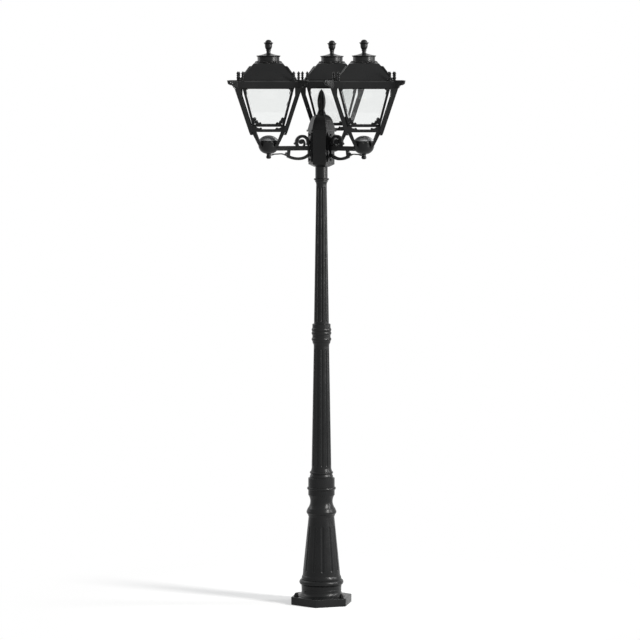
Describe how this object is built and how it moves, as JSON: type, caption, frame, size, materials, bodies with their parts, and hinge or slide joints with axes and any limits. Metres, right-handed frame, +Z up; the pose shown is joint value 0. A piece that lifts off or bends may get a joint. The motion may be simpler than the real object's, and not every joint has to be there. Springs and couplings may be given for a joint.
{
  "type": "lamp post",
  "caption": "Tall black lamp post: fluted tapering column on a hexagonal base, with square glazed lanterns on scrolled arms round a hexagonal hub.",
  "frame": {"origin": "on the column's axis in the plane of the base plate's underside", "axes": "+Z up along the column, -Y the way the lanterns' fronts face, +X to the right seen from the front"},
  "size_m": [0.7342, 0.7196, 2.3865],
  "materials": {
    "black_metal": "satin powder coat",
    "black_fasteners": "gloss paint",
    "zinc_steel": "zinc plated",
    "clear_glass": "clear",
    "lamp_white": "opal",
    "holder_white": "moulded",
    "cover_grey": "satin paint",
    "terminal_plastic": "moulded"
  },
  "bodies": {
    "post": {"base_plate": "black_metal", "anchor_nuts": "black_fasteners", "pedestal": "black_metal", "collar": "black_metal", "lower_column": "black_metal", "middle_coupling": "black_metal", "upper_column": "black_metal", "post_top": "black_metal", "tie_rod": "zinc_steel", "hub": "black_metal", "hub_cap": "black_metal", "flame_finial": "black_metal", "terminal_block": "terminal_plastic", "arm_screws": "black_fasteners", "arm_left": "black_metal", "drop_finial_left": "black_metal", "bowl_left": "black_metal", "wiring_cover_left": "cover_grey", "cage_left": "black_metal", "glazing_frame_left": "black_metal", "panes_left": "clear_glass", "eave_left": "black_metal", "spikes_left": "black_metal", "arm_right": "black_metal", "drop_finial_right": "black_metal", "bowl_right": "black_metal", "wiring_cover_right": "cover_grey", "cage_right": "black_metal", "glazing_frame_right": "black_metal", "panes_right": "clear_glass", "eave_right": "black_metal", "spikes_right": "black_metal", "arm_rear": "black_metal", "drop_finial_rear": "black_metal", "bowl_rear": "black_metal", "wiring_cover_rear": "cover_grey", "cage_rear": "black_metal", "glazing_frame_rear": "black_metal", "panes_rear": "clear_glass", "eave_rear": "black_metal", "spikes_rear": "black_metal"},
    "roof_body_left": {"roof_left": "black_metal", "roof_finial_left": "black_metal", "lamp_bracket_left": "zinc_steel", "lamp_holder_left": "holder_white"},
    "lamp_body_left": {"lamp_left": "lamp_white"},
    "roof_screw_body_left": {"roof_screw_left": "black_fasteners"},
    "roof_body_right": {"roof_right": "black_metal", "roof_finial_right": "black_metal", "lamp_bracket_right": "zinc_steel", "lamp_holder_right": "holder_white"},
    "lamp_body_right": {"lamp_right": "lamp_white"},
    "roof_screw_body_right": {"roof_screw_right": "black_fasteners"},
    "roof_body_rear": {"roof_rear": "black_metal", "roof_finial_rear": "black_metal", "lamp_bracket_rear": "zinc_steel", "lamp_holder_rear": "holder_white"},
    "lamp_body_rear": {"lamp_rear": "lamp_white"},
    "roof_screw_body_rear": {"roof_screw_rear": "black_fasteners"}
  },
  "joints": [
    {"name": "roof_lift_left", "type": "slide", "parent": "post", "child": "roof_body_left", "axis": [0, 0, 1], "range_m": [0, 0.12]},
    {"name": "lamp_twist_left", "type": "hinge", "parent": "roof_body_left", "child": "lamp_body_left", "pos_m": [-0.22125, -0.07618, 2.222], "axis": [0, 0, 1], "range_deg": [0, 15]},
    {"name": "roof_screw_turn_left", "type": "hinge", "parent": "post", "child": "roof_screw_body_left", "pos_m": [-0.12825, -0.19418, 2.186], "axis": [0, 0, 1], "range_deg": [0, 360]},
    {"name": "roof_lift_right", "type": "slide", "parent": "post", "child": "roof_body_right", "axis": [0, 0, 1], "range_m": [0, 0.12]},
    {"name": "lamp_twist_right", "type": "hinge", "parent": "roof_body_right", "child": "lamp_body_right", "pos_m": [0.1766, -0.15352, 2.222], "axis": [0, 0, 1], "range_deg": [0, 15]},
    {"name": "roof_screw_turn_right", "type": "hinge", "parent": "post", "child": "roof_screw_body_right", "pos_m": [0.2696, -0.27152, 2.186], "axis": [0, 0, 1], "range_deg": [0, 360]},
    {"name": "roof_lift_rear", "type": "slide", "parent": "post", "child": "roof_body_rear", "axis": [0, 0, 1], "range_m": [0, 0.12]},
    {"name": "lamp_twist_rear", "type": "hinge", "parent": "roof_body_rear", "child": "lamp_body_rear", "pos_m": [0.04465, 0.2297, 2.222], "axis": [0, 0, 1], "range_deg": [0, 15]},
    {"name": "roof_screw_turn_rear", "type": "hinge", "parent": "post", "child": "roof_screw_body_rear", "pos_m": [0.13765, 0.1117, 2.186], "axis": [0, 0, 1], "range_deg": [0, 360]}
  ]
}
